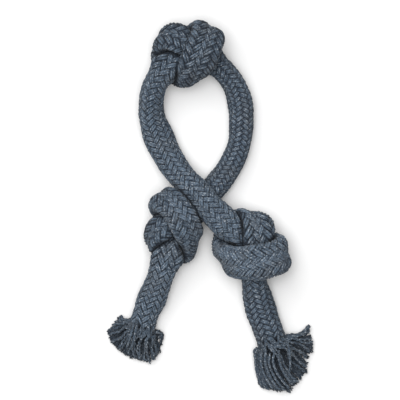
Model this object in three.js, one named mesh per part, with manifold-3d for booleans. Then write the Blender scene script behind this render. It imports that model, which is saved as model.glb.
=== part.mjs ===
// A rope tug toy for dogs: one length of braided cotton rope with three overhand knots.
// The rope folds into a loop that crosses itself, has a knot at the top of the loop and one
// near each end, and its two ends are frayed into tassels. It lies on its side on a floor.
// Millimetres, +Z up, X to the right and Y away along the loop.

import * as THREE from "three";
import { mergeVertices } from "three/addons/utils/BufferGeometryUtils.js";
import Module from "manifold-3d";

const wasm = await Module();
wasm.setup();

// The rope: a braided cover over a core of straight yarns
const ROPE_DIAMETER = 20;
const COVER_WALL = 3;
const CORE_CLEARANCE = 0.3;
const JOINT_CLEARANCE = 0.3;

// How the soft rope gives way where it is pressed
const STRAND_CLEARANCE = 1.2;
const FLAT_SHARE = 0.1;
const INNER_BEND_SHARE = 0.82;
const SPREAD_SHARE = 0.75;
const MOST_SPREAD_SHARE = 1.25;
const BEND_FLAT_SHARE = 0.6;
const MOST_BEND_FLAT_SHARE = 0.36;
const SOFTNESS = 7;
const NEAREST_NEIGHBOUR_SHARE = 1.3;
const FARTHEST_NEIGHBOUR_SHARE = 3;

// The frayed ends: the carriers of the braid open into locks, and so does the core
const COVER_LOCKS = 12;
const CORE_LOCKS = 5;
const COVER_LOCK_DIAMETER = 3.6;
const CORE_LOCK_DIAMETER = 4.4;
const LOCK_TIP_SHARE = 1.5;
const UPPER_TIP_RISE = 6;
const SHORT_LOCK_SHARE = 0.92;
const KNEE_SHARE = 0.45;
const CORE_EDGE_SHARE = 0.14;
const LOCK_SIDES = 6;
const LOCK_STEPS = 4;
const COLLAR_LENGTH = 3;
const LEFT_TASSEL_LENGTH = 27.5;
const RIGHT_TASSEL_LENGTH = 40.5;

// The finish of the tube
const ROPE_SIDES = 12;
const KNOT_STEP = 5.5;
const STRETCH_STEP = 9;
const ROUTE_STEP = 1.25;
const SMOOTHING = 4;
const DIVISIONS_PER_POINT = 40;
const GAP_SAMPLES = 5;
const GAP_CELL = 3;

// The middle of the toy's outline on the drawing, which is the model's origin
const DRAWING_MIDDLE = [1.25, 0.29];

const ROPE_RADIUS = ROPE_DIAMETER / 2;
const REST_HEIGHT = ROPE_RADIUS - FLAT_SHARE * ROPE_DIAMETER;
const UP = new THREE.Vector3(0, 0, 1);

// The rope's route from the left frayed end to the right one, in stretches.
// Each point is [x, y, rise], and a rise of nothing is rope that lies on the floor.
const ROUTE = [
  ["left_tail", STRETCH_STEP, [
    [-53, -93.2, 0], [-49.7, -82, 0], [-45, -71, 1], [-40.7, -60, 5],
    [-36.8, -49, 10], [-33.5, -38, 13]]],
  ["left_knot", KNOT_STEP, [
    [-31.2, -28, 9], [-30.5, -18, 1], [-31, -8, 1], [-36, 3.5, 8], [-32.5, 5, 19],
    [-25, -3, 25], [-19, -12, 25], [-16.5, -20, 18], [-17, -25.5, 9],
    [-22.5, -29.5, 1], [-30.5, -32, 0], [-40, -30, 5], [-41, -22, 12],
    [-34, -15.5, 15], [-25, -12, 10], [-17, -8, 4]]],
  ["loop_right_side", STRETCH_STEP, [
    [-8, 3, 1], [3.5, 15, 0], [14.6, 30, 0], [21.9, 47, 0], [23.7, 63, 0],
    [22.9, 79, 0], [18.4, 92.8, 2], [10.2, 104, 5]]],
  ["top_knot", KNOT_STEP, [
    [-1, 112.7, 8], [-9, 117.5, 13], [-18, 123.5, 17], [-28, 129.5, 17],
    [-35.2, 127.5, 10], [-32, 118, 2], [-28.5, 109, 0], [-23, 102.3, 4],
    [-16.5, 102.5, 14], [-12, 106, 24], [-9, 114, 30], [-5, 124, 29],
    [-2.4, 132.4, 19.5], [-7.8, 127.4, 7], [-17.5, 120, 3], [-25, 113.5, 9],
    [-32.5, 107, 14]]],
  ["loop_left_side", STRETCH_STEP, [
    [-41.2, 96.5, 12], [-45.3, 84, 8], [-45.3, 69, 3], [-39.7, 52.5, 0],
    [-32.2, 37.2, 2], [-23.5, 24, 7], [-12.4, 10.8, 14], [-1.6, -1.7, 18],
    [8.7, -10.5, 18]]],
  ["right_knot", KNOT_STEP, [
    [17.8, -18.8, 15], [26.5, -24.8, 9], [35, -31, 3], [45.5, -35.5, 5],
    [53, -36, 14], [47.8, -38.5, 24], [37, -41.7, 29], [25.5, -43.5, 26],
    [15.5, -41.5, 17], [13.5, -34, 6], [15.5, -25, 0], [21.5, -18, 0],
    [28.6, -11.2, 8], [34.2, -16.3, 18], [36, -26, 19], [35.5, -36, 13],
    [33.7, -47, 8]]],
  ["right_tail", STRETCH_STEP, [
    [33.5, -58, 5], [35.8, -69, 2], [38.8, -80, 0], [43, -92, 0], [47.3, -104, 0]]],
];

// How full the slack braid stands in each stretch, as a share of the rope's diameter
const FULLNESS_SHARES = {
  left_tail: 1.03,
  left_knot: 1.08,
  loop_right_side: 0.99,
  top_knot: 1.1,
  loop_left_side: 1.1,
  right_knot: 1.17,
  right_tail: 1.12,
};

// The fans of locks: their edges as angles from the rope's end, and the outline between them
const LEFT_FAN = {
  edges: [-96, 86],
  length: LEFT_TASSEL_LENGTH,
  outlineShares: [0.64, 0.89, 0.95, 0.89, 0.9, 0.95, 1, 0.66, 0.62],
};
const RIGHT_FAN = {
  edges: [-42, 92],
  length: RIGHT_TASSEL_LENGTH,
  outlineShares: [0.73, 0.92, 0.94, 1, 0.93, 0.75, 0.72, 0.79, 0.74],
};

const coverFinish = new THREE.MeshStandardMaterial({ color: 0x3a404a, roughness: 0.95, metalness: 0 });
const coreFinish = new THREE.MeshStandardMaterial({ color: 0x30353d, roughness: 0.97, metalness: 0 });

const routePoint = ([x, y, rise]) =>
  new THREE.Vector3(x - DRAWING_MIDDLE[0], y - DRAWING_MIDDLE[1], REST_HEIGHT + rise);

// The route as closely spaced places with a direction, a turn and a frame that doesn't twist
function layRoute() {
  const points = ROUTE.flatMap(([, , places]) => places).map(routePoint);
  const curve = new THREE.CatmullRomCurve3(points, false, "centripetal");
  curve.arcLengthDivisions = points.length * DIVISIONS_PER_POINT;
  const count = Math.round(curve.getLength() / ROUTE_STEP);
  const rough = curve.getSpacedPoints(count);
  const places = rough.map((point, i) => {
    const reach = Math.min(SMOOTHING, i, count - i);
    const near = rough.slice(i - reach, i + reach + 1);
    return near.reduce((sum, p) => sum.add(p), new THREE.Vector3()).divideScalar(near.length);
  });
  let normal = UP.clone();
  let along = 0;
  return places.map((point, i) => {
    const before = places[Math.max(i - 1, 0)];
    const after = places[Math.min(i + 1, count)];
    const tangent = after.clone().sub(before).normalize();
    const bend = new THREE.Vector3();
    if (i > 0 && i < count) {
      const step = after.distanceTo(before) / 2;
      bend.add(before).add(after).addScaledVector(point, -2).divideScalar(step * step);
    }
    normal = normal.clone().addScaledVector(tangent, -normal.dot(tangent)).normalize();
    const side = new THREE.Vector3().crossVectors(tangent, normal);
    along += i ? point.distanceTo(places[i - 1]) : 0;
    return { point, tangent, bend, normal, side, along };
  });
}

const route = layRoute();

// Where each stretch starts along the route: half-way between its first point and the last one before
function stretchEnds() {
  const starts = [0];
  for (let i = 1; i < ROUTE.length; i += 1) {
    const middle = routePoint(ROUTE[i - 1][2].at(-1)).lerp(routePoint(ROUTE[i][2][0]), 0.5);
    const first = starts.at(-1);
    const nearest = route
      .filter((place) => place.along > first + ROPE_DIAMETER)
      .reduce((best, place) =>
        place.point.distanceTo(middle) < best.point.distanceTo(middle) ? place : best);
    starts.push(nearest.along);
  }
  return [...starts, route.at(-1).along];
}

// A place on the route at any distance along it
function placeAt(along) {
  const i = Math.min(route.findLastIndex((place) => place.along <= along), route.length - 2);
  const [a, b] = [route[Math.max(i, 0)], route[Math.max(i, 0) + 1]];
  const share = (along - a.along) / (b.along - a.along);
  const mixed = (key) => a[key].clone().lerp(b[key], share);
  return {
    point: mixed("point"),
    tangent: mixed("tangent").normalize(),
    bend: mixed("bend"),
    normal: mixed("normal").normalize(),
    side: mixed("side").normalize(),
    along,
  };
}

const ends = stretchEnds();

// The fullness of the rope there, blended from the middle of one stretch to the middle of the next
function fullnessAt(along) {
  const middles = ROUTE.map((_, i) => (ends[i] + ends[i + 1]) / 2);
  const shares = ROUTE.map(([name]) => FULLNESS_SHARES[name]);
  const next = middles.findIndex((middle) => middle > along);
  if (next === 0) return shares[0];
  if (next < 0) return shares.at(-1);
  const share = (along - middles[next - 1]) / (middles[next] - middles[next - 1]);
  return THREE.MathUtils.lerp(shares[next - 1], shares[next], share);
}

// How far the surface lies from the centreline if nothing presses it: a bend flattens the rope
function freeReach(place, direction, fullness) {
  const turn = place.bend.length();
  const flattening = Math.min(BEND_FLAT_SHARE * turn * ROPE_RADIUS, MOST_BEND_FLAT_SHARE);
  const inTurn = turn > 0 ? place.bend.dot(direction) / turn : 0;
  return ROPE_RADIUS * fullness * (1 + flattening * (1 - 2 * inTurn ** 2));
}

// How far it may lie at most: up to a neighbour or the inside of a bend
function pressedReach(place, direction) {
  const inward = place.bend.dot(direction);
  let reach = inward > 0 ? INNER_BEND_SHARE / inward : Infinity;
  for (const other of route) {
    if (Math.abs(other.along - place.along) < NEAREST_NEIGHBOUR_SHARE * ROPE_DIAMETER) continue;
    const gap = other.point.clone().sub(place.point);
    const distance = gap.length();
    const facing = gap.dot(direction);
    if (facing <= 0 || distance > FARTHEST_NEIGHBOUR_SHARE * ROPE_DIAMETER) continue;
    reach = Math.min(reach, (distance * (distance - STRAND_CLEARANCE)) / 2 / facing);
  }
  return reach;
}

// The floor presses the rope flat where it lies
const floorReach = (place, direction) => (direction.z < 0 ? place.point.z / -direction.z : Infinity);

// One ring of surface distances, spread sideways to make up for what is pressed flat
function sectionAt(place) {
  const fullness = fullnessAt(place.along);
  const directions = Array.from({ length: ROPE_SIDES }, (_, k) => {
    const angle = (2 * Math.PI * k) / ROPE_SIDES;
    return place.normal.clone().multiplyScalar(Math.cos(angle)).addScaledVector(place.side, Math.sin(angle));
  });
  const free = directions.map((direction) => freeReach(place, direction, fullness));
  const limits = directions.map((direction) => pressedReach(place, direction));
  const floor = directions.map((direction) => floorReach(place, direction));
  const squares = free.reduce((sum, reach, k) => sum + Math.min(reach, limits[k], floor[k]) ** 2, 0);
  const kept = Math.min(squares / (ROPE_SIDES * (ROPE_RADIUS * fullness) ** 2), 1);
  const spread = Math.min(Math.sqrt(1 + SPREAD_SHARE * (1 - kept) / kept), MOST_SPREAD_SHARE);
  const reaches = free.map((reach, k) => {
    const eased = ((reach * spread) ** -SOFTNESS + limits[k] ** -SOFTNESS) ** (-1 / SOFTNESS);
    return Math.min(eased, floor[k]);
  });
  return { directions, reaches };
}

// A closed surface from rings of points, with a bore if inner rings are given
function loft(rings, innerRings) {
  const sides = rings[0].length;
  const positions = [...rings, ...(innerRings ?? [])].flat().flatMap((p) => p.toArray());
  const index = [];
  const quad = (a, b, c, d) => index.push(a, b, c, a, c, d);
  const last = rings.length - 1;
  const inner = rings.length * sides;
  for (let k = 0; k < sides; k += 1) {
    const next = (k + 1) % sides;
    for (let i = 0; i < last; i += 1) {
      const row = i * sides;
      quad(row + k, row + next, row + sides + next, row + sides + k);
      if (innerRings) {
        const bore = inner + row;
        quad(bore + k, bore + sides + k, bore + sides + next, bore + next);
      }
    }
    const top = last * sides;
    if (innerRings) {
      quad(k, inner + k, inner + next, next);
      quad(top + next, inner + top + next, inner + top + k, top + k);
    } else if (k > 0 && k < sides - 1) {
      index.push(0, next, k);
      index.push(top, top + k, top + next);
    }
  }
  const geometry = new THREE.BufferGeometry();
  geometry.setAttribute("position", new THREE.Float32BufferAttribute(positions, 3));
  geometry.setIndex(index);
  return geometry;
}

// The rings' places of one stretch, a joint's clearance short of its neighbours
function stretchPlaces([from, to], step) {
  const start = from + (from > 0 ? JOINT_CLEARANCE / 2 : 0);
  const end = to - JOINT_CLEARANCE / 2;
  const count = Math.max(2, Math.round((end - start) / step));
  return Array.from({ length: count + 1 }, (_, i) => placeAt(start + ((end - start) * i) / count));
}

function ringOf(place, section, inset) {
  return section.directions.map((direction, k) =>
    place.point.clone().addScaledVector(direction, section.reaches[k] - inset));
}

// The least gap from strand to strand, between points spread evenly over the faceted surface
function leastGap(places, rings) {
  const samples = rings.slice(1).flatMap((ring, i) => ring.flatMap((corner, k) => {
    const next = (k + 1) % ring.length;
    return Array.from({ length: GAP_SAMPLES ** 2 }, (_, n) => {
      const [u, v] = [(n % GAP_SAMPLES) / GAP_SAMPLES, Math.floor(n / GAP_SAMPLES) / GAP_SAMPLES];
      const near = rings[i][k].clone().lerp(rings[i][next], u);
      return { point: near.lerp(corner.clone().lerp(ring[next], u), v), along: places[i].along };
    });
  }));
  const cells = new Map();
  const cellOf = ({ x, y, z }, step = [0, 0, 0]) =>
    [x, y, z].map((value, axis) => Math.floor(value / GAP_CELL) + step[axis]).join();
  samples.forEach((sample) => {
    const key = cellOf(sample.point);
    cells.set(key, [...(cells.get(key) ?? []), sample]);
  });
  const steps = [-1, 0, 1].flatMap((a) => [-1, 0, 1].flatMap((b) => [-1, 0, 1].map((c) => [a, b, c])));
  let least = GAP_CELL;
  for (const { point, along } of samples) {
    for (const other of steps.flatMap((step) => cells.get(cellOf(point, step)) ?? [])) {
      if (Math.abs(other.along - along) < NEAREST_NEIGHBOUR_SHARE * ROPE_DIAMETER) continue;
      least = Math.min(least, point.distanceTo(other.point));
    }
  }
  return least;
}

function solidOf(geometry) {
  const bare = geometry.clone();
  const merged = mergeVertices(bare);
  return new wasm.Manifold(new wasm.Mesh({
    numProp: 3,
    vertProperties: new Float32Array(merged.attributes.position.array),
    triVerts: new Uint32Array(merged.index.array),
  }));
}

function geometryOf(solid) {
  const mesh = solid.getMesh();
  const geometry = new THREE.BufferGeometry();
  geometry.setAttribute("position", new THREE.BufferAttribute(mesh.vertProperties, mesh.numProp));
  geometry.setIndex(new THREE.BufferAttribute(mesh.triVerts, 1));
  return geometry;
}

// A tapering lock of yarns along a curve, never below the floor
function lock(curve, diameter) {
  const rings = Array.from({ length: LOCK_STEPS + 1 }, (_, i) => {
    const share = i / LOCK_STEPS;
    const radius = (diameter / 2) * (1 + (LOCK_TIP_SHARE - 1) * share);
    const tangent = curve.getTangentAt(share);
    const side = new THREE.Vector3().crossVectors(tangent, UP).normalize();
    const top = new THREE.Vector3().crossVectors(side, tangent);
    return Array.from({ length: LOCK_SIDES }, (_, k) => {
      const angle = (2 * Math.PI * k) / LOCK_SIDES;
      const point = curve.getPointAt(share)
        .addScaledVector(top, radius * Math.cos(angle))
        .addScaledVector(side, radius * Math.sin(angle));
      point.z = Math.max(point.z, 0);
      return point;
    });
  });
  return solidOf(loft(rings));
}

// One end of the rope as a frame of its own: outward, across and its outermost ring
function endOf(isFirst) {
  const place = isFirst ? route[0] : route.at(-1);
  const outward = place.tangent.clone().multiplyScalar(isFirst ? -1 : 1);
  outward.z = 0;
  outward.normalize();
  const across = new THREE.Vector3().crossVectors(UP, outward);
  return { place, outward, across, section: sectionAt(place), isFirst };
}

// The short collar that a frayed end's locks grow from, next to the rope's end
function collar(end, inset, boreInset) {
  const rings = (ringInset) => [JOINT_CLEARANCE, JOINT_CLEARANCE + COLLAR_LENGTH].map((distance) =>
    ringOf(end.place, end.section, ringInset).map((point) => point.addScaledVector(end.outward, distance)));
  const ordered = (pair) => (end.isFirst ? pair.reverse() : pair);
  return solidOf(loft(ordered(rings(inset)), boreInset ? ordered(rings(boreInset)) : undefined));
}

// A lock from its root in the rope's end to its tip on the fan's outline
function fanLock(end, diameter, fan, spreadShare, tipShare, offset, rise, tipRise) {
  const degrees = fan.edges[0] + (fan.edges[1] - fan.edges[0]) * spreadShare;
  const angle = THREE.MathUtils.degToRad(degrees);
  const at = spreadShare * (fan.outlineShares.length - 1);
  const before = fan.outlineShares[Math.floor(at)];
  const after = fan.outlineShares[Math.ceil(at)];
  const distance = fan.length * tipShare * THREE.MathUtils.lerp(before, after, at % 1);
  const root = end.place.point.clone().addScaledVector(end.across, offset);
  root.addScaledVector(end.outward, COLLAR_LENGTH / 2).setZ(rise);
  const knee = root.clone().addScaledVector(end.outward, KNEE_SHARE * distance);
  const tip = end.place.point.clone()
    .addScaledVector(end.across, distance * Math.sin(angle))
    .addScaledVector(end.outward, distance * Math.cos(angle))
    .setZ(tipRise);
  return lock(new THREE.QuadraticBezierCurve3(root, knee, tip), diameter);
}

// The carriers of the braid, opened into locks all round the rope's end
function coverLocks(end, fan, clearance) {
  const middle = ROPE_RADIUS - COVER_WALL / 2;
  return Array.from({ length: COVER_LOCKS }, (_, i) => {
    const turn = (i + 0.25) / COVER_LOCKS;
    const [sideways, upward] = [Math.cos(2 * Math.PI * turn), Math.sin(2 * Math.PI * turn)];
    const lowest = COVER_LOCK_DIAMETER / 2;
    const rise = Math.max(end.place.point.z + middle * upward, lowest);
    return fanLock(end, COVER_LOCK_DIAMETER + 2 * clearance, fan, Math.abs(1 - 2 * turn),
      upward > 0 ? SHORT_LOCK_SHARE : 1, middle * sideways, rise, lowest + UPPER_TIP_RISE * Math.max(upward, 0));
  });
}

// The yarns of the core, opened between the upper and the lower locks of the cover
function coreLocks(end, fan) {
  const middle = ROPE_RADIUS - COVER_WALL - CORE_CLEARANCE - CORE_LOCK_DIAMETER / 2;
  return Array.from({ length: CORE_LOCKS }, (_, i) => {
    const share = i / (CORE_LOCKS - 1);
    return fanLock(end, CORE_LOCK_DIAMETER, fan, CORE_EDGE_SHARE + (1 - 2 * CORE_EDGE_SHARE) * share,
      SHORT_LOCK_SHARE, middle * (2 * share - 1), end.place.point.z, COVER_LOCK_DIAMETER);
  });
}

const joined = (solids) => solids.reduce((whole, solid) => whole.add(solid));

const toy = new THREE.Group();

function add(name, geometry, finish) {
  const mesh = new THREE.Mesh(geometry, finish);
  mesh.name = name;
  toy.add(mesh);
}

const covered = ROUTE.flatMap(([name, step], i) => {
  const places = stretchPlaces([ends[i], ends[i + 1]], step);
  const sections = places.map(sectionAt);
  const rings = (inset) => places.map((place, k) => ringOf(place, sections[k], inset));
  add(name + "_cover", loft(rings(0), rings(COVER_WALL)), coverFinish);
  add(name + "_core", loft(rings(COVER_WALL + CORE_CLEARANCE)), coreFinish);
  return places.map((place, k) => ({ place, ring: rings(0)[k] }));
});
const gap = leastGap(covered.map(({ place }) => place), covered.map(({ ring }) => ring));
console.log("rope", route.at(-1).along.toFixed(0), "mm long, least gap from strand to strand", gap.toFixed(2), "mm");

for (const [name, fan, isFirst] of [["left_frayed", LEFT_FAN, true], ["right_frayed", RIGHT_FAN, false]]) {
  const end = endOf(isFirst);
  const coverYarns = joined([collar(end, 0, COVER_WALL), ...coverLocks(end, fan, 0)]);
  const room = joined([collar(end, 0, COVER_WALL + CORE_CLEARANCE), ...coverLocks(end, fan, CORE_CLEARANCE)]);
  const coreYarns = joined([collar(end, COVER_WALL + CORE_CLEARANCE), ...coreLocks(end, fan)]).subtract(room);
  add(name + "_cover_yarns", geometryOf(coverYarns), coverFinish);
  add(name + "_core_yarns", geometryOf(coreYarns), coreFinish);
}

export default toy;
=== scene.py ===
# A rope tug toy for dogs, lying on a pale floor. One braided cotton rope is folded into a loop
# that crosses itself, tied in three overhand knots, and frayed at both ends. Metres, +Z up.

import math
import random

import bmesh
import bpy
import numpy as np
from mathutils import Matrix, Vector


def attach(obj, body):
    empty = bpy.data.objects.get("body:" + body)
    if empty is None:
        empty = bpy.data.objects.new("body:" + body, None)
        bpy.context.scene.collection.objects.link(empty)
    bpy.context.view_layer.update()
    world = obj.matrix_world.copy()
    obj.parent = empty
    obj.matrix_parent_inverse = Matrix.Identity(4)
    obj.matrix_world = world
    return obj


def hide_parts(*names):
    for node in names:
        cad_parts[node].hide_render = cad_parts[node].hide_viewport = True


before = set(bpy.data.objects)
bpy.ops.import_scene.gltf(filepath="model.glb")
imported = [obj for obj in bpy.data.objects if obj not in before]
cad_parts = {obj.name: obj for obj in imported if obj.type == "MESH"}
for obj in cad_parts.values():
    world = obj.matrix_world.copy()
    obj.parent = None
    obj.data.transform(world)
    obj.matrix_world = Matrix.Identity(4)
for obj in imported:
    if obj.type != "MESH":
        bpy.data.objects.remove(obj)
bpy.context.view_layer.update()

# The camera hangs far above the toy and looks straight down, so that the knots hardly lean
# outwards. The picture's middle is a little left of and above the middle of the toy.
VIEW_WIDTH = 0.3076
VIEW_MIDDLE = (-0.0094, 0.00436)
VIEW_DISTANCE = 3.0
VIEW_HEIGHT = 0.015

camera = bpy.data.objects.new("camera", bpy.data.cameras.new("camera"))
camera.data.lens = camera.data.sensor_width * VIEW_DISTANCE / VIEW_WIDTH
camera.location = (*VIEW_MIDDLE, VIEW_HEIGHT + VIEW_DISTANCE)
bpy.context.scene.collection.objects.link(camera)
bpy.context.scene.camera = camera

# The rope's route, from the left frayed end to the right one, is one soft cotton rope that was
# tied and then dropped on the floor. Each point is [x, y, rise over the rope's resting height].
ROPE_DIAMETER = 0.020
ROPE_RADIUS = ROPE_DIAMETER / 2
FLOOR_PRESS = 0.002
DRAWING_MIDDLE = (0.00125, 0.00029)
PLACE_STEP = 0.00125
EASING = 4
ROUTE = {
    "left_tail": [
        (-0.053, -0.0932, 0), (-0.0497, -0.082, 0), (-0.045, -0.071, 0.001), (-0.0407, -0.060, 0.005),
        (-0.0368, -0.049, 0.010), (-0.0335, -0.038, 0.013)],
    "left_knot": [
        (-0.0312, -0.028, 0.009), (-0.0305, -0.018, 0.001), (-0.031, -0.008, 0.001),
        (-0.036, 0.0035, 0.008), (-0.0325, 0.005, 0.019), (-0.025, -0.003, 0.025),
        (-0.019, -0.012, 0.025), (-0.0165, -0.020, 0.018), (-0.017, -0.0255, 0.009),
        (-0.0225, -0.0295, 0.001), (-0.0305, -0.032, 0), (-0.040, -0.030, 0.005),
        (-0.041, -0.022, 0.012), (-0.034, -0.0155, 0.015), (-0.025, -0.012, 0.010),
        (-0.017, -0.008, 0.004)],
    "loop_right_side": [
        (-0.008, 0.003, 0.001), (0.0035, 0.015, 0), (0.0146, 0.030, 0), (0.0219, 0.047, 0),
        (0.0237, 0.063, 0), (0.0229, 0.079, 0), (0.0184, 0.0928, 0.002), (0.0102, 0.104, 0.005)],
    "top_knot": [
        (-0.001, 0.1127, 0.008), (-0.009, 0.1175, 0.013), (-0.018, 0.1235, 0.017),
        (-0.028, 0.1295, 0.017), (-0.0352, 0.1275, 0.010), (-0.032, 0.118, 0.002),
        (-0.0285, 0.109, 0), (-0.023, 0.1023, 0.004), (-0.0165, 0.1025, 0.014),
        (-0.012, 0.106, 0.024), (-0.009, 0.114, 0.030), (-0.005, 0.124, 0.029),
        (-0.0024, 0.1324, 0.0195), (-0.0078, 0.1274, 0.007), (-0.0175, 0.120, 0.003),
        (-0.025, 0.1135, 0.009), (-0.0325, 0.107, 0.014)],
    "loop_left_side": [
        (-0.0412, 0.0965, 0.012), (-0.0453, 0.084, 0.008), (-0.0453, 0.069, 0.003),
        (-0.0397, 0.0525, 0), (-0.0322, 0.0372, 0.002), (-0.0235, 0.024, 0.007),
        (-0.0124, 0.0108, 0.014), (-0.0016, -0.0017, 0.018), (0.0087, -0.0105, 0.018)],
    "right_knot": [
        (0.0178, -0.0188, 0.015), (0.0265, -0.0248, 0.009), (0.035, -0.031, 0.003),
        (0.0455, -0.0355, 0.005), (0.053, -0.036, 0.014), (0.0478, -0.0385, 0.024),
        (0.037, -0.0417, 0.029), (0.0255, -0.0435, 0.026), (0.0155, -0.0415, 0.017),
        (0.0135, -0.034, 0.006), (0.0155, -0.025, 0), (0.0215, -0.018, 0),
        (0.0286, -0.0112, 0.008), (0.0342, -0.0163, 0.018), (0.036, -0.026, 0.019),
        (0.0355, -0.036, 0.013), (0.0337, -0.047, 0.008)],
    "right_tail": [
        (0.0335, -0.058, 0.005), (0.0358, -0.069, 0.002), (0.0388, -0.080, 0),
        (0.043, -0.092, 0), (0.0473, -0.104, 0)],
}


def spaced_along_spline(points, step):
    padded = np.vstack([2 * points[0] - points[1], points, 2 * points[-1] - points[-2]])
    share = np.linspace(0, 1, 40, endpoint=False)[:, None]
    fine = []
    for a, b, c, d in zip(padded, padded[1:], padded[2:], padded[3:]):
        ab, bc, cd = (math.sqrt(math.dist(p, q)) for p, q in ((a, b), (b, c), (c, d)))
        leave = bc * ((b - a) / ab - (c - a) / (ab + bc) + (c - b) / bc)
        arrive = bc * ((c - b) / bc - (d - b) / (bc + cd) + (d - c) / cd)
        square = (3 * (c - b) - 2 * leave - arrive) * share**2
        fine.append(b + leave * share + square + (2 * (b - c) + leave + arrive) * share**3)
    fine = np.vstack([*fine, points[-1:]])
    along = distances_along(fine)
    wanted = np.linspace(0, along[-1], round(along[-1] / step) + 1)
    return np.column_stack([np.interp(wanted, along, fine[:, axis]) for axis in range(3)])


def distances_along(points):
    return np.concatenate([[0], np.cumsum(np.linalg.norm(np.diff(points, axis=0), axis=1))])


def unit(vectors):
    return vectors / np.linalg.norm(vectors, axis=-1, keepdims=True)


lifted = {
    name: np.array(points) + (-DRAWING_MIDDLE[0], -DRAWING_MIDDLE[1], ROPE_RADIUS - FLOOR_PRESS)
    for name, points in ROUTE.items()}
rough = spaced_along_spline(np.vstack(list(lifted.values())), PLACE_STEP)
last = len(rough) - 1
windows = [min(EASING, i, last - i) for i in range(last + 1)]
places = np.array([rough[i - reach:i + reach + 1].mean(axis=0) for i, reach in enumerate(windows)])
along = distances_along(places)
before, after = places[[0, *range(last)]], places[[*range(1, last + 1), last]]
tangents = unit(after - before)
bends = (before + after - 2 * places) / (np.linalg.norm(after - before, axis=1)[:, None] / 2) ** 2
bends[[0, last]] = 0
normals = [np.array([0.0, 0.0, 1.0])]
for tangent in tangents:
    normals.append(unit(normals[-1] - tangent * normals[-1].dot(tangent)))
normals = np.array(normals[1:])
sides = np.cross(tangents, normals)

middles = [(a[-1] + b[0]) / 2 for a, b in zip(list(lifted.values()), list(lifted.values())[1:])]
cuts = [0.0]
for middle in middles:
    beyond = along > cuts[-1] + ROPE_DIAMETER
    nearest = np.where(beyond, np.linalg.norm(places - middle, axis=1), np.inf).argmin()
    cuts.append(along[nearest])
cuts.append(along[-1])
stretches = {name: (cuts[i], cuts[i + 1]) for i, name in enumerate(ROUTE)}

# The rope's surface gives way where strands press on each other, on the floor and on the inside
# of a bend, and a tight bend flattens it. Distances from the centreline make up its sections.
SECTION_SIDES = 72
STRAND_CLEARANCE = 0.0003
INNER_BEND_SHARE = 0.82
SPREAD_SHARE = 0.75
MOST_SPREAD_SHARE = 1.25
BEND_FLAT_SHARE = 0.6
MOST_BEND_FLAT_SHARE = 0.36
SOFTNESS = 7
FULLNESS_SHARES = {
    "left_tail": 1.03, "left_knot": 1.08, "loop_right_side": 0.99, "top_knot": 1.1,
    "loop_left_side": 1.1, "right_knot": 1.17, "right_tail": 1.12,
}

angles = np.arange(SECTION_SIDES) * 2 * math.pi / SECTION_SIDES
directions = (normals[:, None] * np.cos(angles)[:, None] + sides[:, None] * np.sin(angles)[:, None])
inward = (directions * bends[:, None]).sum(axis=2)
turn = np.linalg.norm(bends, axis=1)[:, None]
limits = np.where(inward > 0, INNER_BEND_SHARE / np.maximum(inward, 1e-6), np.inf)
downward = -directions[:, :, 2]
limits = np.minimum(limits, np.where(downward > 0, places[:, None, 2] / np.maximum(downward, 1e-6), np.inf))
for i, place in enumerate(places):
    gaps = places - place
    distance = np.linalg.norm(gaps, axis=1)
    close = (abs(along - along[i]) > 1.3 * ROPE_DIAMETER) & (distance < 3 * ROPE_DIAMETER)
    facing = directions[i] @ gaps[close].T
    halfway = distance[close] * (distance[close] - STRAND_CLEARANCE) / 2
    limits[i] = np.minimum(limits[i], np.where(facing > 0, halfway / np.maximum(facing, 1e-9), np.inf).min(axis=1, initial=np.inf))
flattening = np.minimum(BEND_FLAT_SHARE * turn * ROPE_RADIUS, MOST_BEND_FLAT_SHARE)
fullness = np.interp(
    along, [(start + end) / 2 for start, end in stretches.values()], list(FULLNESS_SHARES.values()))[:, None]
free = ROPE_RADIUS * fullness * (1 + flattening * (1 - 2 * (inward / np.maximum(turn, 1e-6)) ** 2))
kept = (np.minimum(free, limits) ** 2).mean(axis=1, keepdims=True) / (ROPE_RADIUS * fullness) ** 2
spread = np.minimum(np.sqrt(1 + SPREAD_SHARE * np.maximum(1 - kept, 0) / kept), MOST_SPREAD_SHARE)
reaches = ((free * spread) ** -SOFTNESS + limits**-SOFTNESS) ** (-1 / SOFTNESS)
for _ in range(2):
    reaches = (2 * reaches + np.roll(reaches, 1, axis=1) + np.roll(reaches, -1, axis=1)) / 4
    reaches[1:-1] = (2 * reaches[1:-1] + reaches[:-2] + reaches[2:]) / 4
pressed = 1 - reaches / (free * spread)


def looked_up(table, distance, angle):
    """A value of the rope's sections at distances along it and angles round it."""
    row = np.interp(distance, along, np.arange(last + 1))
    i = np.minimum(row.astype(int), last - 1)
    f = row - i
    column = (angle / (2 * math.pi) * SECTION_SIDES) % SECTION_SIDES
    j = column.astype(int) % SECTION_SIDES
    g = column - np.floor(column)
    near = table[i, j] * (1 - g) + table[i, (j + 1) % SECTION_SIDES] * g
    far = table[i + 1, j] * (1 - g) + table[i + 1, (j + 1) % SECTION_SIDES] * g
    return near * (1 - f) + far * f


def surface_at(distance, angle, depth):
    """Points a depth under the rope's surface, the surface's stretch there, and its outward way."""
    row = np.interp(distance, along, np.arange(last + 1))
    i = np.minimum(row.astype(int), last - 1)
    f = (row - i)[:, None]
    reach = looked_up(reaches, distance, angle)
    normal = unit(normals[i] * (1 - f) + normals[i + 1] * f)
    side = unit(sides[i] * (1 - f) + sides[i + 1] * f)
    out = normal * np.cos(angle)[:, None] + side * np.sin(angle)[:, None]
    bend = bends[i] * (1 - f) + bends[i + 1] * f
    centre = places[i] * (1 - f) + places[i + 1] * f
    stretch = np.sqrt(np.clip(1 - (bend * out).sum(axis=1) * reach, 0.2, 2) * reach / ROPE_RADIUS)
    return centre + out * (reach - depth)[:, None], stretch, out


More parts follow.
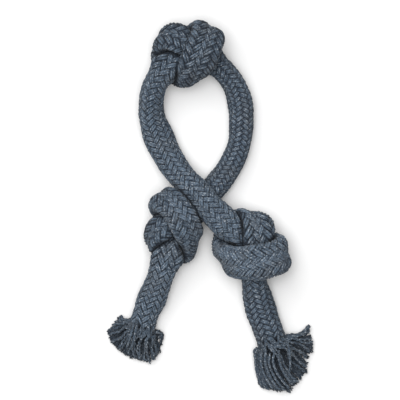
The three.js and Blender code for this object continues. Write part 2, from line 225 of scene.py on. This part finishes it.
# The core's straight yarns fill the braid. Only a dark skin of them shows, in the chinks of the
# braid, so it is one long tube that the braid lies on.
CORE_DEPTH = 0.0024
CORE_SIDES = 36


def new_piece(name, mesh, material):
    piece = bpy.data.objects.new(name, mesh)
    bpy.context.scene.collection.objects.link(piece)
    mesh.materials.append(material)
    for face in mesh.polygons:
        face.use_smooth = True
    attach(piece, "root")
    return piece


def core_material():
    material = bpy.data.materials.new("core yarn in painted shade")
    material.use_nodes = True
    tree = material.node_tree
    shader = tree.nodes["Principled BSDF"]
    shader.inputs["Roughness"].default_value = 0.95
    shader.inputs["Specular IOR Level"].default_value = 0.15
    place = tree.nodes.new("ShaderNodeTexCoord")
    mottle = tree.nodes.new("ShaderNodeTexNoise")
    mottle.inputs["Scale"].default_value = 900
    # The core's skin is near-black: painted shade, for the shadow deep in the chinks of the braid; its yarns are the
    # same cotton as the rest.
    ramp = tree.nodes.new("ShaderNodeValToRGB")
    ramp.color_ramp.elements[0].color = (0.012, 0.015, 0.024, 1)
    ramp.color_ramp.elements[1].color = (0.035, 0.043, 0.058, 1)
    tree.links.new(place.outputs["Object"], mottle.inputs["Vector"])
    tree.links.new(mottle.outputs["Fac"], ramp.inputs["Fac"])
    tree.links.new(ramp.outputs["Color"], shader.inputs["Base Color"])
    return material


shell = bmesh.new()
core_angles = np.arange(CORE_SIDES) * 2 * math.pi / CORE_SIDES
steps = np.arange(0, last + 1, 2)
ring = bmesh.ops.create_circle(shell, segments=CORE_SIDES, radius=ROPE_RADIUS)["verts"]
edges = list(shell.edges)
for number, step in enumerate(steps):
    if number:
        grown = bmesh.ops.extrude_edge_only(shell, edges=edges)["geom"]
        fresh = {v for v in grown if isinstance(v, bmesh.types.BMVert)}
        edges = [e for e in grown if isinstance(e, bmesh.types.BMEdge) and set(e.verts) <= fresh]
        ring = [next(v for edge in old.link_edges for v in edge.verts if v in fresh) for old in ring]
    spots, _, _ = surface_at(np.full(CORE_SIDES, along[step]), core_angles, CORE_DEPTH)
    for vertex, spot in zip(ring, spots):
        vertex.co = spot
bmesh.ops.holes_fill(shell, edges=[e for e in shell.edges if len(e.link_faces) == 1], sides=0)
bmesh.ops.recalc_face_normals(shell, faces=shell.faces)
core_mesh = bpy.data.meshes.new("rope_core")
shell.to_mesh(core_mesh)
shell.free()
rope_core = new_piece("rope_core", core_mesh, core_material())
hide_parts(*[name + "_core" for name in ROUTE])

# The braid: twelve carriers wound each way, two cotton yarns side by side on each, that pass
# over two and under two of the others. Where they pass depends only on the column round the
# rope, which makes the herringbone's upright columns.
CARRIERS = 12
BRAID_PITCHES = {
    "left_tail": 0.072, "left_knot": 0.052, "loop_right_side": 0.048, "top_knot": 0.055,
    "loop_left_side": 0.064, "right_knot": 0.060, "right_tail": 0.056,
}
YARN_SPREADS = {
    "left_tail": 0.0, "left_knot": 0.1, "loop_right_side": -0.02, "top_knot": 0.1,
    "loop_left_side": 0.0, "right_knot": 0.1, "right_tail": 0.0,
}
# Painted shade in the gaps between the floats, stretch by stretch: more where less light falls on the toy, less (below
# nought) where more falls.
PAINTED_GAP_SHADES = {
    "left_tail": -0.04, "left_knot": 0.04, "loop_right_side": 0.16, "top_knot": 0.16, "loop_left_side": 0.0,
    "right_knot": -0.16, "right_tail": 0.14}
YARN_RADIUS = 0.00086
WEAVE_DEPTH = 0.0006
YARN_SPACING = 0.8
YARN_SLIP = 0.00026
FLOAT_SWELL = 0.09
FLOAT_SPREAD = 0.06
FLANK_TILT = 0.3
FLOAT_SHARES = (1, 1, 0.55, -0.55, -1, -1, -0.55, 0.55)
HALF_COLUMN = math.pi / (2 * CARRIERS)
BRAID_MARGIN = 0.0028
YARN_SIDES = 8
# Painted shade: SIDE_SHADE darkens each yarn's flanks, CREASE_SHADE the creases where strands press on each other,
# between the pressed shares given.
SIDE_SHADE = 0.5
CREASE_SHADE = 0.82
CREASE_PRESS_SHARES = (0.04, 0.24)


def yarn_texture():
    """Marled cotton in a yarn's own space, as if it were pulled straight: fibres, plies, flecks, and painted shade."""
    group = bpy.data.node_groups.new("marled cotton yarn", "ShaderNodeTree")
    for name, kind, value in (("Dark", "NodeSocketColor", (0.030, 0.045, 0.066, 1)),
                              ("Mid", "NodeSocketColor", (0.149, 0.200, 0.263, 1)),
                              ("Fleck", "NodeSocketColor", (0.55, 0.59, 0.63, 1)),
                              ("Warm", "NodeSocketColor", (0.135, 0.130, 0.122, 1)),
                              ("Painted Shade", "NodeSocketColor", (0.008, 0.013, 0.022, 1)),
                              ("Ply Turns", "NodeSocketFloat", 380.0),
                              ("Fleck Amount", "NodeSocketFloat", 0.6)):
        group.interface.new_socket(name, in_out="INPUT", socket_type=kind).default_value = value
    group.interface.new_socket("Colour", in_out="OUTPUT", socket_type="NodeSocketColor")
    group.interface.new_socket("Height", in_out="OUTPUT", socket_type="NodeSocketFloat")
    nodes, links = group.nodes, group.links
    given, result = nodes.new("NodeGroupInput"), nodes.new("NodeGroupOutput")

    def math_node(operation, first, second=0.0):
        node = nodes.new("ShaderNodeMath")
        node.operation = operation
        for socket, value in zip(node.inputs, (first, second)):
            if isinstance(value, (int, float)):
                socket.default_value = value
            else:
                links.new(value, socket)
        return node.outputs[0]

    def noise(vector, scale, detail, stretch=None):
        if stretch:
            mapping = nodes.new("ShaderNodeMapping")
            mapping.inputs["Scale"].default_value = stretch
            links.new(vector, mapping.inputs["Vector"])
            vector = mapping.outputs[0]
        node = nodes.new("ShaderNodeTexNoise")
        node.inputs["Scale"].default_value = scale
        node.inputs["Detail"].default_value = detail
        links.new(vector, node.inputs["Vector"])
        return node.outputs["Fac"]

    def range_node(value, low, high, to_low=0.0, to_high=1.0):
        node = nodes.new("ShaderNodeMapRange")
        for name, number in (("From Min", low), ("From Max", high), ("To Min", to_low), ("To Max", to_high)):
            node.inputs[name].default_value = number
        links.new(value, node.inputs["Value"])
        return node.outputs[0]

    def mixed(factor, first, second):
        node = nodes.new("ShaderNodeMix")
        node.data_type = "RGBA"
        links.new(factor, node.inputs["Factor"])
        links.new(first, node.inputs["A"])
        links.new(second, node.inputs["B"])
        return node.outputs["Result"]

    straight = nodes.new("ShaderNodeAttribute")
    straight.attribute_name = "pulled_straight"
    place = nodes.new("ShaderNodeTexCoord").outputs["Object"]
    split = nodes.new("ShaderNodeSeparateXYZ")
    links.new(straight.outputs["Vector"], split.inputs[0])
    around = math_node("ARCTAN2", split.outputs["Z"], split.outputs["Y"])
    turns = math_node("MULTIPLY", split.outputs["X"], given.outputs["Ply Turns"])
    twist = math_node("SINE", math_node("ADD", math_node("MULTIPLY", around, 2.0), math_node("MULTIPLY", turns, 2 * math.pi)))
    fibres = noise(straight.outputs["Vector"], 2200, 3, (0.12, 1, 1))
    blotches = noise(straight.outputs["Vector"], 420, 2, (0.5, 1, 1))
    patches = noise(place, 55, 2)
    flecks = noise(straight.outputs["Vector"], 1250, 0, (0.7, 1, 1))
    tone = math_node("ADD", math_node("MULTIPLY", blotches, 0.6), math_node("MULTIPLY", fibres, 0.6))
    # The ply twist lightens each ply's crest and darkens its groove a little: painted highlight and shade.
    tone = math_node("ADD", tone, math_node("MULTIPLY", twist, 0.07))
    body = mixed(range_node(tone, 0.42, 0.8), given.outputs["Dark"], given.outputs["Mid"])
    warmed = mixed(range_node(patches, 0.5, 0.72, 0.0, 0.25), body, given.outputs["Warm"])
    spots = math_node("MULTIPLY", range_node(flecks, 0.62, 0.76), given.outputs["Fleck Amount"])
    flecked = mixed(spots, warmed, given.outputs["Fleck"])
    # Painted shade: the colour is mixed towards a near-black where the yarn is tucked under others, pressed in a
    # crease or turned away on its flank.
    painted_shade = nodes.new("ShaderNodeAttribute")
    painted_shade.attribute_name = "painted_shade"
    shade = range_node(painted_shade.outputs["Fac"], 0.2, 0.7, 0.0, 0.92)
    links.new(mixed(shade, flecked, given.outputs["Painted Shade"]), result.inputs["Colour"])
    height = math_node("ADD", math_node("MULTIPLY", twist, 0.35), math_node("MULTIPLY", fibres, 0.6))
    links.new(height, result.inputs["Height"])
    return group


def yarn_material(name, roughness, bump, inputs=()):
    material = bpy.data.materials.new(name)
    material.use_nodes = True
    tree = material.node_tree
    shader = tree.nodes["Principled BSDF"]
    shader.inputs["Roughness"].default_value = roughness
    shader.inputs["Specular IOR Level"].default_value = 0.22
    shader.inputs["Sheen Weight"].default_value = 0.12
    shader.inputs["Sheen Roughness"].default_value = 0.45
    texture = tree.nodes.new("ShaderNodeGroup")
    texture.node_tree = cotton
    for socket, value in inputs:
        texture.inputs[socket].default_value = value
    relief = tree.nodes.new("ShaderNodeBump")
    relief.inputs["Strength"].default_value = bump
    relief.inputs["Distance"].default_value = 0.0002
    tree.links.new(texture.outputs["Colour"], shader.inputs["Base Color"])
    tree.links.new(texture.outputs["Height"], relief.inputs["Height"])
    tree.links.new(relief.outputs["Normal"], shader.inputs["Normal"])
    return material


def yarn_mesh(name, yarns, sides):
    """A closed round tube along each yarn's points, with its place on the straightened yarn and its
    painted shade: the shade given along it, with more on its flanks."""
    curve = bpy.data.curves.new(name, "CURVE")
    curve.dimensions = "3D"
    curve.bevel_depth = 1.0
    curve.bevel_resolution = (sides - 4) // 2
    for points, radii, _, _, _ in yarns:
        spline = curve.splines.new("POLY")
        spline.points.add(len(points) - 1)
        spline.points.foreach_set("co", np.column_stack([points, np.ones(len(points))]).ravel())
        spline.points.foreach_set("radius", radii)
    holder = bpy.data.objects.new(name, curve)
    mesh = bpy.data.meshes.new_from_object(holder)
    mesh.name = name
    bpy.data.objects.remove(holder)
    bpy.data.curves.remove(curve)
    turns = np.arange(sides) * 2 * math.pi / sides
    straight = []
    for points, radii, start, _, _ in yarns:
        distance = start + distances_along(points)
        rounds = np.array(radii)[:, None]
        straight.append(np.stack([
            np.repeat(distance[:, None], sides, axis=1), rounds * np.cos(turns), rounds * np.sin(turns)], axis=2))
    mesh.attributes.new("pulled_straight", "FLOAT_VECTOR", "POINT")
    mesh.attributes["pulled_straight"].data.foreach_set(
        "vector", np.concatenate([block.reshape(-1, 3) for block in straight]).ravel())
    mesh.attributes.new("painted_shade", "FLOAT", "POINT")
    corners = np.empty(len(mesh.vertices) * 3, np.float32)
    mesh.vertices.foreach_get("co", corners)
    centres, outs = (np.repeat(np.concatenate([yarn[n] for yarn in yarns]), sides, axis=0) for n in (0, 4))
    rounds, painted_shades = (np.repeat(np.concatenate([yarn[n] for yarn in yarns]), sides) for n in (1, 3))
    facing = ((corners.reshape(-1, 3) - centres) * outs).sum(axis=1) / rounds
    mesh.attributes["painted_shade"].data.foreach_set("value", painted_shades + SIDE_SHADE * (1 - facing))
    tube = bmesh.new()
    tube.from_mesh(mesh)
    bmesh.ops.holes_fill(tube, edges=[e for e in tube.edges if len(e.link_faces) == 1], sides=0)
    bmesh.ops.recalc_face_normals(tube, faces=tube.faces)
    tube.to_mesh(mesh)
    tube.free()
    return mesh


# The braid is pulled longer in some stretches and its yarns spread wider in some, its gaps take a painted shade that
# differs by stretch, and wound is its angle at each place of the route
stretch_middles = [(start + end) / 2 for start, end in stretches.values()]
pitches = np.interp(along, stretch_middles, list(BRAID_PITCHES.values()))
spreads = np.interp(along, stretch_middles, list(YARN_SPREADS.values()))
painted_gap_shades = np.interp(along, stretch_middles, list(PAINTED_GAP_SHADES.values()))
wound = np.concatenate([[0], np.cumsum(np.diff(along) * 2 * math.pi / pitches[1:])])


def float_middle(first, hand, ahead, distance):
    """The sample nearest to a distance along the rope where this yarn lies level."""
    angle = first + hand * np.interp(distance, along, wound)
    return 4 * round((angle / HALF_COLUMN - 0.5 - ahead) / 4)


def braid_yarn(first, hand, beside, start, end, number):
    ahead = beside * YARN_SPACING / 2
    reach = [float_middle(first, hand, ahead, distance) for distance in (start, end)]
    samples = np.arange(reach[0], reach[1] + hand, hand)
    angle = (samples + 0.5 + ahead) * HALF_COLUMN
    distance = np.interp((angle - first) * hand, wound, along)
    over = hand * np.array(FLOAT_SHARES)[samples % 8]
    _, stretch, _ = surface_at(distance, angle, 0)
    uneven = 0.5 + 0.5 * np.sin(samples * 1.7 + number * 2.3) * np.sin(samples * 0.37 + number)
    radii = YARN_RADIUS * np.clip(stretch, 0.75, 1.32) * (1 + FLOAT_SWELL * (over - uneven))
    astray = 0.008 * np.sin(samples * 0.61 + number * 5.1) + 0.006 * np.sin(samples * 0.23 + (number // 2) * 1.9)
    depth = radii + WEAVE_DEPTH * (1 - over) + YARN_SLIP * uneven
    astray = astray + beside * HALF_COLUMN * (FLOAT_SPREAD * over + np.interp(distance, along, spreads))
    points, _, outs = surface_at(distance, angle + astray, depth)
    # Painted shade on the yarn's flanks: its outward way is tilted towards its carrier's middle, so the flank away
    # from the middle is shaded more.
    nearer, _, _ = surface_at(distance, angle + astray - beside * YARN_SPACING * HALF_COLUMN, depth)
    outs = outs + unit(nearer - points) * FLANK_TILT
    # Painted shade: darkest where the yarn lies under the others, more in the creases where strands press on each
    # other, and more or less by stretch.
    crease = np.interp(looked_up(pressed, distance, angle), CREASE_PRESS_SHARES, (0, CREASE_SHADE))
    painted_shade = (1 - over) / 2 + crease + np.interp(distance, along, painted_gap_shades)
    return points, radii, number + distance[0], painted_shade, unit(outs)


cotton = yarn_texture()
braid_material = yarn_material("braided cotton yarn", 0.9, 0.5)
yarn_starts = [
    (2 * math.pi * carrier / CARRIERS + beside * YARN_SPACING * HALF_COLUMN, hand, beside)
    for hand in (1, -1) for carrier in range(CARRIERS) for beside in (-1, 1)]
for name, (start, end) in stretches.items():
    start = max(start, BRAID_MARGIN)
    end = min(end, along[-1] - BRAID_MARGIN)
    yarns = [braid_yarn(*yarn_start, start, end, n) for n, yarn_start in enumerate(yarn_starts)]
    mesh = yarn_mesh(name + "_braid", yarns, YARN_SIDES)
    braid = new_piece(name + "_braid", mesh, braid_material)
    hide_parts(name + "_cover")

# The frayed ends: past the braid its yarns and the core's come loose and fall open in locks,
# each yarn of two plies. Guides are chosen across the fan, from the rope's end to the tips, and
# each yarn lies between two of them, drawn to the nearer one.
PLY_RADIUS = 0.00055
PLY_OFFSET = 0.00038
PLY_TURN = 0.0072
CRIMP = 0.00036
CRIMP_LENGTH = 0.0044
CORE_YARNS = 84
LOOSE_STEP = 0.0009
DRIFT_LENGTH = 0.006
CLUMP_SHARES = (0.0, 0.1, 0.2, 0.15)
HEIGHT_SHARES = (0.85, 0.55, 0.36, 0.2)
FIBRE_RADIUS = 0.00013
TASSELS = {
    "left_frayed": dict(
        first=True, crimps=(1.5, 1.0), shares=(0, 0.05, 0.1, 0.16, 0.28, 0.4, 0.52, 0.64, 0.75, 0.86, 1),
        over=[
            [(-0.0590, -0.0905, 0.0195), (-0.0606, -0.0965, 0.0205), (-0.0623, -0.1030, 0.0180),
             (-0.0644, -0.1090, 0.0120)],
            [(-0.0566, -0.0905, 0.0195), (-0.0578, -0.0970, 0.0207), (-0.0592, -0.1040, 0.0185),
             (-0.0611, -0.1102, 0.0125)]],
        guides=[
        [(-0.0615, -0.0877), (-0.0655, -0.0888), (-0.0690, -0.0875), (-0.0690, -0.0847)],
        [(-0.0622, -0.0886), (-0.0666, -0.0899), (-0.0706, -0.0889), (-0.0716, -0.0870)],
        [(-0.0632, -0.0896), (-0.0680, -0.0913), (-0.0722, -0.0911), (-0.0745, -0.0903)],
        [(-0.0650, -0.0915), (-0.0705, -0.0938), (-0.0752, -0.0954), (-0.0795, -0.0975)],
        [(-0.0645, -0.0954), (-0.0698, -0.1000), (-0.0733, -0.1030), (-0.0765, -0.1046)],
        [(-0.0625, -0.0984), (-0.0665, -0.1046), (-0.0700, -0.1092), (-0.0719, -0.1100)],
        [(-0.0598, -0.1007), (-0.0627, -0.1084), (-0.0642, -0.1130), (-0.0645, -0.1154)],
        [(-0.0550, -0.1023), (-0.0573, -0.1100), (-0.0573, -0.1154), (-0.0557, -0.1180)],
        [(-0.0504, -0.1030), (-0.0511, -0.1115), (-0.0504, -0.1169), (-0.0496, -0.1204)],
        [(-0.0458, -0.1038), (-0.0450, -0.1115), (-0.0435, -0.1161), (-0.0420, -0.1184)],
        [(-0.0411, -0.0968), (-0.0390, -0.0976), (-0.0373, -0.1000), (-0.0386, -0.1040)]]),
    "right_frayed": dict(
        first=False, crimps=(0.3, 1.6),
        shares=(0, 0.1, 0.2, 0.3, 0.4, 0.56, 0.63, 0.7, 0.77, 0.84, 0.92, 1),
        over=[
            [(0.0588, -0.1050, 0.0200), (0.0605, -0.1110, 0.0195), (0.0612, -0.1180, 0.0160),
             (0.0614, -0.1270, 0.0100)],
            [(0.0395, -0.1114, 0.0175), (0.0387, -0.1183, 0.0172), (0.0403, -0.1269, 0.0142),
             (0.0442, -0.1347, 0.0108), (0.0481, -0.1403, 0.0075)],
            [(0.0426, -0.1106, 0.0175), (0.0418, -0.1183, 0.0172), (0.0442, -0.1269, 0.0142),
             (0.0488, -0.1363, 0.0108), (0.0535, -0.1418, 0.0075)],
            [(0.0456, -0.1129, 0.0175), (0.0449, -0.1206, 0.0172), (0.0480, -0.1292, 0.0142),
             (0.0527, -0.1370, 0.0108), (0.0574, -0.1418, 0.0075)],
            [(0.0495, -0.1114, 0.0175), (0.0479, -0.1183, 0.0172), (0.0503, -0.1269, 0.0142),
             (0.0550, -0.1340, 0.0108), (0.0605, -0.1403, 0.0075)],
            [(0.0526, -0.1106, 0.0175), (0.0526, -0.1183, 0.0172), (0.0557, -0.1269, 0.0142),
             (0.0596, -0.1332, 0.0108), (0.0628, -0.1372, 0.0075)]],
        guides=[
        [(0.0350, -0.1107), (0.0358, -0.1246), (0.0381, -0.1369), (0.0411, -0.1407)],
        [(0.0381, -0.1138), (0.0396, -0.1277), (0.0442, -0.1384), (0.0481, -0.1423)],
        [(0.0427, -0.1154), (0.0442, -0.1277), (0.0496, -0.1377), (0.0550, -0.1423)],
        [(0.0473, -0.1169), (0.0504, -0.1269), (0.0558, -0.1361), (0.0611, -0.1430)],
        [(0.0519, -0.1154), (0.0558, -0.1246), (0.0611, -0.1323), (0.0657, -0.1377)],
        [(0.0565, -0.1107), (0.0611, -0.1184), (0.0665, -0.1246), (0.0734, -0.1292)],
        [(0.0581, -0.1088), (0.0634, -0.1150), (0.0685, -0.1200), (0.0738, -0.1242)],
        [(0.0596, -0.1069), (0.0657, -0.1115), (0.0704, -0.1154), (0.0742, -0.1192)],
        [(0.0608, -0.1050), (0.0669, -0.1080), (0.0724, -0.1108), (0.0766, -0.1138)],
        [(0.0619, -0.1030), (0.0681, -0.1046), (0.0742, -0.1061), (0.0796, -0.1084)],
        [(0.0617, -0.1015), (0.0679, -0.1019), (0.0737, -0.1014), (0.0785, -0.1000)],
        [(0.0611, -0.1000), (0.0673, -0.0996), (0.0727, -0.0969), (0.0757, -0.0923)]]),
}


def loose_yarn(root, way, share, tassel, level, clumping, rng):
    """A yarn's path from the braid's end, between the guides and down to the floor."""
    guides = np.array(tassel["guides"]) - DRAWING_MIDDLE
    at = float(np.interp(share, tassel["shares"], range(len(guides))))
    crimp = np.interp(share, (0, 1), tassel["crimps"])
    knots = [root, root + way * DRIFT_LENGTH]
    for n, (clump, height) in enumerate(zip(CLUMP_SHARES, HEIGHT_SHARES)):
        drawn = at + (round(at) - at) * clump * clumping
        low = min(int(drawn), len(guides) - 2)
        spot = guides[low][n] + (guides[low + 1][n] - guides[low][n]) * (drawn - low)
        spot = spot + (rng.gauss(0, 0.0007), rng.gauss(0, 0.0007))
        rise = PLY_RADIUS + PLY_OFFSET + level * ROPE_DIAMETER * height + rng.uniform(0, 0.0012)
        knots.append(np.array((*spot, rise)))
    knots[-1] = knots[-2] + (knots[-1] - knots[-2]) * rng.uniform(0.7, 1.04)
    path = spaced_along_spline(np.array(knots), LOOSE_STEP)
    distance = distances_along(path)
    ease = np.clip(distance / 0.012, 0, 1)
    wave = np.sin(distance / CRIMP_LENGTH * 2 * math.pi + rng.uniform(0, 2 * math.pi)) * ease * crimp * CRIMP
    tilt = rng.uniform(0, math.pi)
    ways = unit(np.gradient(path, axis=0))
    beside = unit(np.cross(ways, (0, 0, 1)))
    return path + (beside * math.cos(tilt) + np.array((0, 0, 1)) * math.sin(tilt)) * wave[:, None]


def plies_of(path, radius, shade, rng, number):
    """The yarn's two plies, twisted together, and the short loose fibres at its cut tip."""
    distance = distances_along(path)
    share = distance / distance[-1]
    ways = unit(np.gradient(path, axis=0))
    side = unit(np.cross(ways, (0, 0, 1)))
    top = np.cross(side, ways)
    start = rng.uniform(0, 2 * math.pi)
    strands = []
    for ply in range(2):
        angle = start + ply * math.pi + distance / PLY_TURN * 2 * math.pi
        apart = np.clip((share - 0.86) / 0.14, 0, 1) * rng.uniform(0.0001, 0.0007)
        offset = (PLY_OFFSET * radius + apart)[:, None]
        points = path + (side * np.cos(angle)[:, None] + top * np.sin(angle)[:, None]) * offset
        radii = PLY_RADIUS * radius * np.interp(share, [0, 0.1, 0.93, 1], [0.9, 1, 1, 0.72])
        points[:, 2] = np.maximum(points[:, 2], radii)
        strands.append((points, radii, number + ply * 0.3, shade, np.tile((0, 0, 1), (len(points), 1))))
    for fibre in range(3):
        spread = side[-1] * rng.gauss(0, 0.5) + top[-1] * rng.gauss(0, 0.5)
        reach = np.linspace(0, rng.uniform(0.0005, 0.0014), 4)[:, None]
        points = path[-1] - ways[-1] * 0.0006 + spread * PLY_RADIUS + (ways[-1] + spread * 0.6) * reach
        points[:, 2] = np.maximum(points[:, 2], FIBRE_RADIUS)
        radii = FIBRE_RADIUS * np.array([1, 1, 0.8, 0.4])
        strands.append((points, radii, number + 0.7 + fibre * 0.01, np.full(4, 0.1), np.tile((0, 0, 1), (4, 1))))
    return strands


for name, tassel in TASSELS.items():
    rng = random.Random(7)
    end = 0 if tassel["first"] else last
    outward = unit((tangents[end] * (-1 if tassel["first"] else 1)) * (1, 1, 0))
    across = np.cross((0, 0, 1), outward)
    centre = places[end]
    cover, inner = [], []
    # Each yarn's shade is painted: the cover yarns are darkened near the braid's end and a little less the more
    # crimped they are, the yarns laid over the rest lose it past their roots, the core yarns, lying lower, are darker,
    # and every ply's underside is shaded.
    for number, yarn_start in enumerate(yarn_starts):
        start = BRAID_MARGIN if tassel["first"] else along[-1] - BRAID_MARGIN - 0.006
        points, *_ = braid_yarn(*yarn_start, start, start + 0.006, number)
        root, before_root = (points[0], points[1]) if tassel["first"] else (points[-1], points[-2])
        way = unit(unit(root - before_root) * 0.5 + outward * 0.8)
        landed = root + way * DRIFT_LENGTH
        sideways = np.clip((landed - centre) @ across / (ROPE_RADIUS * 0.95), -1, 1)
        level = np.clip(root[2] / ROPE_DIAMETER, 0, 1)
        share = float(np.clip(0.5 + 1.1 * math.asin(sideways) / math.pi + rng.gauss(0, 0.035), 0, 1))
        crimp = np.interp(share, (0, 1), tassel["crimps"])
        path = loose_yarn(root, way, share, tassel, level, 1.0, rng)
        cover += plies_of(path, 1.14, np.interp(np.arange(len(path)), [0, 6], [0.3, 0.24 - 0.05 * crimp]), rng, number)
    for number, points in enumerate(tassel["over"]):
        path = spaced_along_spline(np.array(points) - (*DRAWING_MIDDLE, 0), LOOSE_STEP)
        cover += plies_of(path, 1.2, np.interp(np.arange(len(path)), [0, 6], [0.3, 0.0]), rng, 200 + number)
    for number in range(CORE_YARNS):
        angle, part = number * 2.4, math.sqrt((number + 0.5) / CORE_YARNS)
        spot = np.array((math.cos(angle), math.sin(angle))) * part * (ROPE_RADIUS - 0.0042)
        root = centre + across * spot[0] + np.array((0, 0, 1)) * spot[1]
        sideways = spot[0] / (ROPE_RADIUS - 0.0042)
        share = 0.5 + (sideways * math.sqrt(1 - sideways ** 2) + math.asin(sideways)) / math.pi
        share = float(np.clip(share + rng.gauss(0, 0.015), 0, 1))
        level = 0.5 * root[2] / ROPE_DIAMETER
        crimp = np.interp(share, (0, 1), tassel["crimps"])
        path = loose_yarn(root, outward, share, tassel, level, 0.0, rng)
        inner += plies_of(path, 1.1, np.interp(np.arange(len(path)), [0, 9], [0.6, 0.46]), rng, 100 + number)
    fray_material = yarn_material(name.replace("_", " ") + " yarn", 0.92, 0.5, (("Ply Turns", 500.0), ("Mid", (0.126, 0.166, 0.214, 1))))
    for part, strands, slot in (("cover", cover, "braided_cover"), ("core", inner, "core_yarn")):
        mesh = yarn_mesh(f"{name}_{part}_strands", strands, 6)
        piece = new_piece(f"{name}_{part}_strands", mesh, fray_material)
        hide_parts(f"{name}_{part}_yarns")

# The floor is a plain white sheet, a hair under the toy, and keeps its shadow.
FLOOR_SIZE = 4.0
FLOOR_GAP = 0.0002

ground = bmesh.new()
bmesh.ops.create_grid(ground, size=FLOOR_SIZE / 2)
bmesh.ops.translate(ground, verts=ground.verts, vec=(0, 0, -FLOOR_GAP))
floor_mesh = bpy.data.meshes.new("floor")
ground.to_mesh(floor_mesh)
ground.free()
floor = bpy.data.objects.new("floor", floor_mesh)
bpy.context.scene.collection.objects.link(floor)
floor_material = bpy.data.materials.new("white floor")
floor_material.use_nodes = True
floor_tree = floor_material.node_tree
floor_shader = floor_tree.nodes["Principled BSDF"]
floor_shader.inputs["Roughness"].default_value = 0.9
floor_shader.inputs["Specular IOR Level"].default_value = 0.0
rays = floor_tree.nodes.new("ShaderNodeLightPath")
seen = floor_tree.nodes.new("ShaderNodeMath")
seen.operation = "MAXIMUM"
seen_too = floor_tree.nodes.new("ShaderNodeMath")
seen_too.operation = "MAXIMUM"
floor_tree.links.new(rays.outputs["Is Camera Ray"], seen.inputs[0])
floor_tree.links.new(rays.outputs["Is Glossy Ray"], seen.inputs[1])
floor_tree.links.new(seen.outputs[0], seen_too.inputs[0])
floor_tree.links.new(rays.outputs["Is Transmission Ray"], seen_too.inputs[1])
floor_colour = floor_tree.nodes.new("ShaderNodeMix")
floor_colour.data_type = "RGBA"
floor_colour.inputs["A"].default_value = (0.22, 0.21, 0.19, 1)
floor_colour.inputs["B"].default_value = (0.93, 0.93, 0.93, 1)
floor_tree.links.new(seen_too.outputs[0], floor_colour.inputs["Factor"])
floor_tree.links.new(floor_colour.outputs["Result"], floor_shader.inputs["Base Color"])
floor_mesh.materials.append(floor_material)

# Soft studio light: a large lamp from the upper left of the picture, a wide one overhead, and
# an even pale surround.
LAMPS = (
    ("key lamp", (-0.7, 0.8, 1.9), 2.0, 30.5),
    ("overhead lamp", (0.0, -0.1, 2.4), 1.5, 33),
)
for name, place, size, power in LAMPS:
    lamp = bpy.data.objects.new(name, bpy.data.lights.new(name, "AREA"))
    lamp.data.size = size
    lamp.data.energy = power
    lamp.location = place
    lamp.rotation_euler = (Vector((0, 0, 0)) - Vector(place)).to_track_quat("-Z", "Y").to_euler()
    bpy.context.scene.collection.objects.link(lamp)
surround = bpy.data.worlds.new("pale surround")
surround.use_nodes = True
surround.node_tree.nodes["Background"].inputs["Color"].default_value = (1, 1, 1, 1)
surround.node_tree.nodes["Background"].inputs["Strength"].default_value = 0.27
bpy.context.scene.world = surround
bpy.context.scene.view_settings.view_transform = "Standard"
